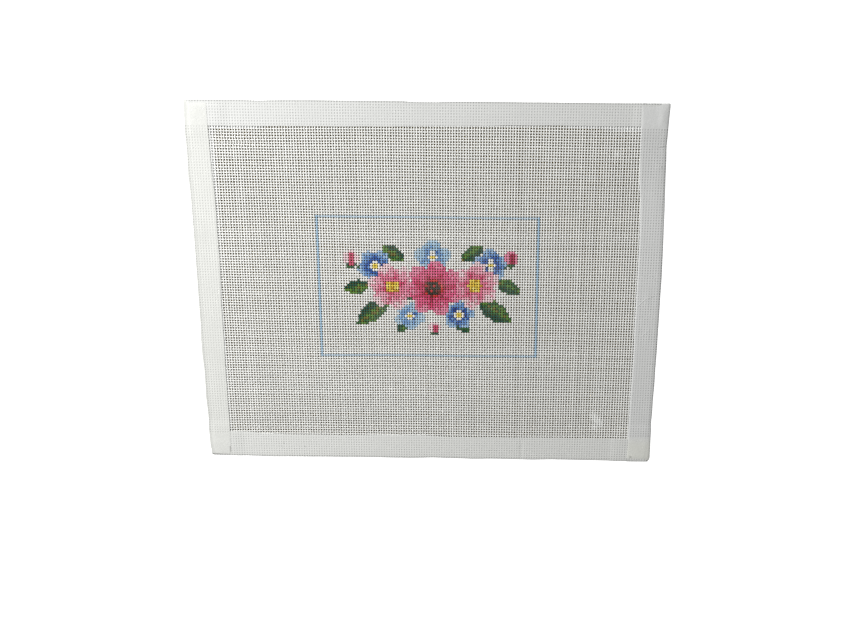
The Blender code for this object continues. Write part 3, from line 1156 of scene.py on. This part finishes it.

# %% [markdown]
# From rows to cloth
#
# A plain grid with as many points as the rows has its faces already, so each of its points only has to
# be moved to its place. The sheet also keeps how far in from the fold each point is, which its material
# needs to make it darker towards the fold, and a Solidify modifier makes it as thick as the cloth.

# %% Make the tapes
def sheet_from_rows(name, rows):
    """A sheet through rows of points, each with its distance in from the fold, made from a grid."""
    columns = len(rows[0])
    bm = bmesh.new()
    from_fold = bm.verts.layers.float.new("from fold")
    bmesh.ops.create_grid(bm, x_segments=columns - 1, y_segments=len(rows) - 1, size=0.5)
    for vert in bm.verts:
        column = round((vert.co.x + 0.5) * (columns - 1))
        row = round((vert.co.y + 0.5) * (len(rows) - 1))
        vert.co = rows[row][column][:3]
        vert[from_fold] = rows[row][column][3]
    bm.normal_update()
    highest = max(bm.faces, key=lambda face: face.calc_center_median().z)
    if highest.normal.z < 0:
        bmesh.ops.reverse_faces(bm, faces=bm.faces)
    mesh = bpy.data.meshes.new(name)
    bm.to_mesh(mesh)
    bm.free()
    mesh.shade_smooth()
    return mesh


def thicken(obj, thick, offset):
    """Gives a sheet its thickness."""
    solid = obj.modifiers.new("thickness", "SOLIDIFY")
    solid.thickness = thick
    solid.offset = offset
    solid.use_even_offset = True
    solid.use_quality_normals = True


tapes = {}
tape_flat = {}
back_edges = {}
for side in SIDE_SIGN:
    rows, tape_flat[side], back_edges[side] = tape_rows(side)
    tape = bpy.data.objects.new("tape_" + side, sheet_from_rows("tape_" + side, rows))
    bpy.context.scene.collection.objects.link(tape)
    thicken(tape, TAPE_THICK, -1.0)
    tapes[side] = tape
    print(side, "tape, flat, mm:", [round(value / MM, 1) for value in tape_flat[side]])

# %% [markdown]
# Holes with tape behind them
#
# Where a back lap reaches past the face lap, the first holes have white tape behind them, and the
# light that it throws back makes the flanks of their threads pale. So each vertex of the mesh stores
# whether a back lap lies under it, and the canvas's material reads that.

# %% Mark the threads over a back lap
BACK_STEP = 0.2 * MM


def over_tape(x, y):
    """1 where the back lap of the left or the top tape lies under the mesh, else 0, with a soft step."""
    left_along, left_across = np.array(back_edges["left"]).T
    top_along, top_across = np.array(back_edges["top"]).T
    left_by = np.interp(y, left_along, left_across) - x
    top_by = y - np.interp(x, top_along, top_across)
    return np.clip(np.maximum(left_by, top_by) / BACK_STEP + 0.5, 0, 1)


marked = 0
for band in bands:
    flat = np.empty(len(band.data.vertices) * 3)
    band.data.vertices.foreach_get("co", flat)
    backed = over_tape(flat[0::3], flat[1::3])
    layer = band.data.attributes.new("over tape", "FLOAT", "POINT")
    layer.data.foreach_set("value", backed.astype(np.float32))
    marked += int((backed > 0.5).sum())
print("Vertices over a back lap:", marked)

# %% [markdown]
# The canvas inside the tapes
#
# The woven bands end just inside the cut edges of the face laps, so the tapes hide where they stop. The
# rest of the canvas, out to its raw edge, is hidden in the fold, so a plain thin strip along each side
# stands for it. A learner could weave it too, but nobody would ever see those threads.

# %% The hidden margin
MARGIN_THICK = 0.4 * MM
MARGIN_TUCK = 1.4 * MM
MARGIN_INNER = 1.2 * MM
# How far the upright strips, and then the level ones, stop short of the tapes' ends
MARGIN_END = {True: 1.5 * MM, False: 13.5 * MM}
MARGIN_COLUMNS = 6
MARGIN_STATION = 6.0 * MM

margin_sheets = []
for side, gauge in gauges.items():
    first = gauge.end(0, NEAR_LAP) + MARGIN_END[is_upright_side(side)]
    last = gauge.end(1, NEAR_LAP) - MARGIN_END[is_upright_side(side)]
    stations = round((last - first) / MARGIN_STATION) + 1
    rows = []
    for along in np.linspace(first, last, stations):
        outer = gauge.fold(along) - gauge.sign * MARGIN_TUCK
        inner = gauge.lap(along) + gauge.sign * MARGIN_INNER
        row = []
        for k in range(MARGIN_COLUMNS):
            across = inner + (outer - inner) * k / (MARGIN_COLUMNS - 1)
            x, y, _ = spot(side, along, across, 0.0)
            row.append((x, y, float(cloth_height(x, y)), 0.0))
        rows.append(row)
    margin_sheets.append(sheet_from_rows("margin_" + side, rows))

bm = bmesh.new()
for mesh in margin_sheets:
    bm.from_mesh(mesh)
    bpy.data.meshes.remove(mesh)
margin_mesh = bpy.data.meshes.new("canvas_margin")
bm.to_mesh(margin_mesh)
bm.free()
margin = bpy.data.objects.new("canvas_margin", margin_mesh)
bpy.context.scene.collection.objects.link(margin)
thicken(margin, MARGIN_THICK, 0.0)

# %% [markdown]
# Effects that the cloths share
#
# Three effects turn up on more than one cloth, so each is a node group. Cotton fibres give a fine
# fuzzy tone and relief. The threads of the canvas press up through the tape as a grid, with a dimple
# over each hole. And a mark along a line is a crease, a slit or a scuff between two points.

# %% Shader groups
fibres, given, gives = new_group(
    "cotton fibres",
    [("Place", "Vector", None), ("Fineness", "Float", 2600.0), ("Cloud Size", "Float", 60.0)],
    [("Tone", "Float"), ("Relief", "Float")],
)
halves = []
for size, detail in (("Fineness", 3.0), ("Cloud Size", 2.0)):
    settings = {"Vector": given["Place"], "Scale": given[size], "Detail": detail}
    noise = add_node(fibres, "TexNoise", settings).outputs[0]
    if size == "Fineness":
        fibres.links.new(noise, gives["Relief"])
    halves.append(calc(fibres, "MULTIPLY", noise, 0.5))
fibres.links.new(calc(fibres, "ADD", *halves), gives["Tone"])

beneath, given, gives = new_group(
    "threads beneath",
    [("Place", "Vector", None)],
    [("Relief", "Float"), ("Dimple", "Float")],
)
rightward = (1 / PITCH, math.tan(SKEW) / PITCH, 0)
downward = (0, -1 / (PITCH * math.cos(SKEW)), 0)
count_i = calc(beneath, "ADD", dot(beneath, given["Place"], rightward), MIDDLE_COUNT[0])
count_j = calc(beneath, "ADD", dot(beneath, given["Place"], downward), MIDDLE_COUNT[1])
ridges = []
for count in (count_i, count_j):
    half_turn = calc(beneath, "MULTIPLY", calc(beneath, "FRACT", count), math.pi)
    ridges.append(calc(beneath, "SINE", half_turn))
raised = calc(beneath, "MAXIMUM", *ridges)
beneath.links.new(raised, gives["Relief"])
beneath.links.new(ramp(beneath, raised, 0.25, 0.95, 1.0, 0.0), gives["Dimple"])

line_mark, given, gives = new_group(
    "mark along a line",
    [
        ("Place", "Vector", None),
        ("Start", "Vector", None),
        ("Finish", "Vector", None),
        ("Width", "Float", 0.001),
    ],
    [("Mask", "Float")],
)
run = vector_calc(line_mark, "SUBTRACT", given["Finish"], given["Start"])
out = vector_calc(line_mark, "SUBTRACT", given["Place"], given["Start"])
flat_out = vector_calc(line_mark, "MULTIPLY", out, (1, 1, 0))
share = calc(line_mark, "DIVIDE", dot(line_mark, flat_out, run), dot(line_mark, run, run), clamp=True)
foot = add_node(line_mark, "VectorMath", {0: run, "Scale": share}, operation="SCALE").outputs[0]
away = add_node(line_mark, "VectorMath", {0: flat_out, 1: foot}, operation="DISTANCE").outputs["Value"]
distance = calc(line_mark, "DIVIDE", away, given["Width"])
line_mark.links.new(ramp(line_mark, distance, 0.0, 1.0, 1.0, 0.0), gives["Mask"])
print("Shader groups:", [group.name for group in bpy.data.node_groups])

# %% [markdown]
# Cotton threads and their paint
#
# The threads are bleached cotton with starch. Their tops and undersides are nearly white, and their
# flanks, deep in the holes, carry painted shade in olive brown, which turns pale where a back lap
# lies under them, as painted light thrown back by the tape. Each thread is a touch lighter or darker
# than the next, from the tone stored on it, and twisted plies give fine slanted ribs along it. The
# paint lies on the top of the crossings and fades down their flanks, and it covers a little unevenly.

# %% The canvas's material
COTTON_WHITE = (250, 251, 248)
# Painted shade: the colour of the flanks deep in the holes, and a pale one where a back lap lights them
FLANK_SHADE_OLIVE = (132, 114, 34)
FLANK_LIT_BY_TAPE = (240, 238, 240)
PLY_LENGTH = 0.62 * MM
THREAD_SPREAD = 0.022
FIBRE_SPREAD = 0.16
PLY_SPREAD = 0.02
TONE_BASE = 0.92


def canvas_material():
    """Bleached cotton thread, with the paint that the mesh carries."""
    cloth = bpy.data.materials.new("mono canvas")
    cloth.use_nodes = True
    tree = cloth.node_tree
    shader = tree.nodes["Principled BSDF"]
    place = add_node(tree, "TexCoord").outputs["Object"]
    upright = add_node(tree, "Attribute", attribute_name="upright").outputs["Fac"]
    tone = add_node(tree, "Attribute", attribute_name="tone").outputs["Fac"]
    paint = add_node(tree, "Attribute", attribute_name="paint")
    normal = add_node(tree, "NewGeometry").outputs["Normal"]
    facing_up = dot(tree, normal, (0, 0, 1))

    cotton = use_group(tree, fibres, {"Place": place, "Fineness": 4200.0, "Cloud Size": 55.0})
    slants = {0: upright, 4: (1, 0.8, 0), 5: (0.8, 1, 0)}
    slant = add_node(tree, "Mix", slants, data_type="VECTOR").outputs[1]
    lay = dot(tree, place, slant)
    twist = calc(tree, "SINE", calc(tree, "MULTIPLY", lay, math.tau / PLY_LENGTH))

    # Painted shade on the flanks that face sideways; paler where a back lap behind them throws light back
    flank_shade = ramp(tree, facing_up, -0.30, 0.42, 1.0, 0.0)
    flank_shade = calc(tree, "MULTIPLY", flank_shade, ramp(tree, facing_up, -0.75, -0.35))
    backed = add_node(tree, "Attribute", attribute_name="over tape").outputs["Fac"]
    flank_shade_colour = blend_colours(tree, backed, opaque(FLANK_SHADE_OLIVE), opaque(FLANK_LIT_BY_TAPE))
    base = blend_colours(tree, flank_shade, opaque(COTTON_WHITE), flank_shade_colour)
    from_thread = calc(tree, "MULTIPLY", tone, THREAD_SPREAD)
    from_fibres = calc(tree, "MULTIPLY", cotton["Tone"], FIBRE_SPREAD)
    level = calc(tree, "ADD", from_thread, from_fibres)
    level = calc(tree, "ADD", level, calc(tree, "MULTIPLY", twist, PLY_SPREAD))
    level = calc(tree, "ADD", level, TONE_BASE)
    grey = add_node(tree, "CombineColor", {0: level, 1: level, 2: level}).outputs[0]
    base = blend_colours(tree, 1.0, base, grey, "MULTIPLY")
    cover = calc(tree, "MULTIPLY", paint.outputs["Alpha"], ramp(tree, facing_up, -0.45, 0.25, 0.12, 1.0))
    patchy = ramp(tree, cotton["Tone"], 0.30, 0.55, 0.80, 1.0)
    cover = calc(tree, "MULTIPLY", cover, patchy)
    base = blend_colours(tree, cover, base, paint.outputs["Color"])
    tree.links.new(base, shader.inputs["Base Color"])

    fuzz = calc(tree, "MULTIPLY", cotton["Relief"], 0.5)
    relief = calc(tree, "ADD", fuzz, calc(tree, "MULTIPLY", twist, 0.25))
    bump = add_node(tree, "Bump", {"Strength": 0.55, "Distance": 0.05 * MM, "Height": relief})
    tree.links.new(bump.outputs[0], shader.inputs["Normal"])
    rough = calc(tree, "ADD", 0.62, calc(tree, "MULTIPLY", cotton["Tone"], 0.25))
    tree.links.new(rough, shader.inputs["Roughness"])
    shader.inputs["Specular IOR Level"].default_value = 0.35
    return cloth


canvas_cloth = canvas_material()
for piece in (*bands, margin):
    piece.data.materials.append(canvas_cloth)
print("Canvas material nodes:", len(canvas_cloth.node_tree.nodes))

# %% [markdown]
# Marks on the tape
#
# Up close the tape has a few marks of its own: fine creases where it was bent, a slit drawn as a dark
# line of painted shade, and some dark specks near its edges. Each is a line between two points with a
# width, which the group for marks can draw, so a table of them is all that is needed.

# %% Creases and slits
# Two ends in mm, width in mm and height, where a negative one is a groove
CREASES = (
    ((112.4, -8.2), (116.5, -4.0), 0.32, 1.0),
    ((116.5, -4.0), (120.6, -2.4), 0.28, 0.8),
    ((116.0, -24.9), (120.0, -21.0), 0.26, 0.7),
    ((116.9, 75.6), (121.3, 76.4), 0.35, -1.0),
    ((117.0, 76.4), (121.0, 77.2), 0.30, 1.0),
    ((119.0, 66.4), (119.4, 66.0), 0.50, 1.2),
    ((52.9, -86.5), (53.2, -96.8), 0.30, -0.8),
)
# Two ends in mm and width in mm
SLITS = (
    ((-111.05, -91.6), (-111.1, -94.6), 0.50),
    ((108.2, 98.0), (109.0, 98.1), 0.60),
    ((-80.9, -89.5), (-80.7, -89.7), 0.55),
    ((-69.1, -91.2), (-68.9, -91.4), 0.50),
    ((114.5, -95.7), (114.9, -95.7), 0.80),
)


def marked_line(tree, place, start, finish, width):
    """How much of a mark lies at a place, from 0 to 1. Its ends and its width are in mm."""
    ends = {name: (x * MM, y * MM, 0.0) for name, (x, y) in (("Start", start), ("Finish", finish))}
    return use_group(tree, line_mark, {"Place": place, "Width": width * MM, **ends})["Mask"]


print("Creases:", len(CREASES), "and slits or specks:", len(SLITS))

# %% [markdown]
# White tape
#
# The tape is a thin, paper-faced cotton with a crepe surface. Between the corners it sinks into every
# hole of the canvas, which shows as rows of soft grey dots, dents with painted shade in them, and at
# the double corners it does not. It is a little darker towards its folded edge, a few fine creases
# cross it, the right tape carries painted shade near its top, and the lower right corner is yellowed.

# %% The tape's material
TAPE_WHITE = {
    "left": (230, 231, 226),
    "right": (232, 233, 231),
    "top": (231, 232, 229),
    "bottom": (235, 236, 232),
}
GLUE_TINT = (1.02, 1.02, 0.965, 1.0)
GLUE_BELOW = (-90.0 * MM, -82.0 * MM)
# Painted shade: the right tape is darker near its top, by this share and over this span
RIGHT_TOP_SHADE = 0.94
RIGHT_TOP_SHADE_SPAN = (45.0 * MM, 70.0 * MM)
# Painted shade in the dimples over the holes, for each tape
DIMPLE_SHADE = {"left": 0.26, "right": 0.52, "top": 0.44, "bottom": 0.50}
# Darker towards the folded edge: how much, and how far in from the fold
FOLD_DARKENING = {"left": 0.16, "right": 0.24, "top": 0.18, "bottom": 0.18}
FOLD_DARK_REACH = {"left": 2.8 * MM, "right": 1.4 * MM, "top": 1.4 * MM, "bottom": 1.4 * MM}
FOLD_DARK_START = 0.3 * MM
CORNER_MIDDLE = 0.8 * MM
CORNER_IN = 84.2 * MM
CORNER_SOFT = 1.2 * MM
CREPE_BASE = 0.87
CREPE_SPREAD = 0.34
# Painted shade in the slits, and the dark of the specks
SLIT_SHADE_AND_SPECK_GREY = 0.45


def tape_material(side):
    """One tape's cloth: white crepe, dimpled by the canvas with painted shade, darker towards the fold,
    and marked.
    """
    cloth = bpy.data.materials.new(side + " tape")
    cloth.use_nodes = True
    tree = cloth.node_tree
    shader = tree.nodes["Principled BSDF"]
    place = add_node(tree, "TexCoord").outputs["Object"]
    axes = add_node(tree, "SeparateXYZ", {0: place}).outputs

    crepe = use_group(tree, fibres, {"Place": place, "Fineness": 1100.0, "Cloud Size": 90.0})
    threads = use_group(tree, beneath, {"Place": place})
    double = 0.0
    if is_upright_side(side):
        off_middle = calc(tree, "ABSOLUTE", calc(tree, "SUBTRACT", axes["Y"], CORNER_MIDDLE))
        double = ramp(tree, off_middle, CORNER_IN, CORNER_IN + CORNER_SOFT)
    single = calc(tree, "SUBTRACT", 1.0, double)
    pressed = calc(tree, "MULTIPLY", single, ramp(tree, crepe["Tone"], 0.38, 0.62, 0.45, 1.0))
    dimple = calc(tree, "MULTIPLY", threads["Dimple"], pressed)

    level = calc(tree, "ADD", CREPE_BASE, calc(tree, "MULTIPLY", crepe["Tone"], CREPE_SPREAD))
    # Painted shade: the tape is darker in each dimple over a hole of the canvas
    level = calc(tree, "SUBTRACT", level, calc(tree, "MULTIPLY", dimple, DIMPLE_SHADE[side]))
    # Painted shade: a slit is drawn as a dark line; the specks are dark marks
    for start, finish, width in SLITS:
        mask = marked_line(tree, place, start, finish, width)
        level = calc(tree, "SUBTRACT", level, calc(tree, "MULTIPLY", mask, SLIT_SHADE_AND_SPECK_GREY))
    from_fold = add_node(tree, "Attribute", attribute_name="from fold").outputs["Fac"]
    # Darker towards the folded edge
    near_fold_dark = ramp(tree, from_fold, FOLD_DARK_START, FOLD_DARK_REACH[side], FOLD_DARKENING[side], 0.0)
    level = calc(tree, "SUBTRACT", level, near_fold_dark)
    if side == "right":
        # Painted shade: darker near the top of the right tape
        top_shade = ramp(tree, axes["Y"], *RIGHT_TOP_SHADE_SPAN, 1.0, RIGHT_TOP_SHADE)
        level = calc(tree, "MULTIPLY", level, top_shade)
    grey = add_node(tree, "CombineColor", {0: level, 1: level, 2: level}).outputs[0]
    base = blend_colours(tree, 1.0, opaque(TAPE_WHITE[side]), grey, "MULTIPLY")
    if side == "right":
        glued = ramp(tree, axes["Y"], *GLUE_BELOW, 1.0, 0.0)
        base = blend_colours(tree, glued, base, blend_colours(tree, 1.0, base, GLUE_TINT, "MULTIPLY"))
    tree.links.new(base, shader.inputs["Base Color"])

    relief = calc(tree, "SUBTRACT", calc(tree, "MULTIPLY", crepe["Relief"], 0.7), dimple)
    for start, finish, width, high in CREASES:
        mask = marked_line(tree, place, start, finish, width)
        relief = calc(tree, "ADD", relief, calc(tree, "MULTIPLY", mask, high))
    bump = add_node(tree, "Bump", {"Strength": 0.8, "Distance": 0.14 * MM, "Height": relief})
    tree.links.new(bump.outputs[0], shader.inputs["Normal"])
    rough = calc(tree, "ADD", 0.72, calc(tree, "MULTIPLY", crepe["Tone"], 0.18))
    tree.links.new(rough, shader.inputs["Roughness"])
    shader.inputs["Specular IOR Level"].default_value = 0.3
    return cloth


for side, tape in tapes.items():
    tape.data.materials.append(tape_material(side))
print("Tape materials:", len(tapes))

# %% [markdown]
# Attaching the pieces
#
# Each piece is attached to the body that it moves with, and the solid part that it stands for is
# hidden.

for band in bands:
    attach(band, "root")
    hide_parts("canvas")
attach(margin, "root")
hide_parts("canvas")
for side, tape in tapes.items():
    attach(tape, "root")
    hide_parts("binding_" + side)
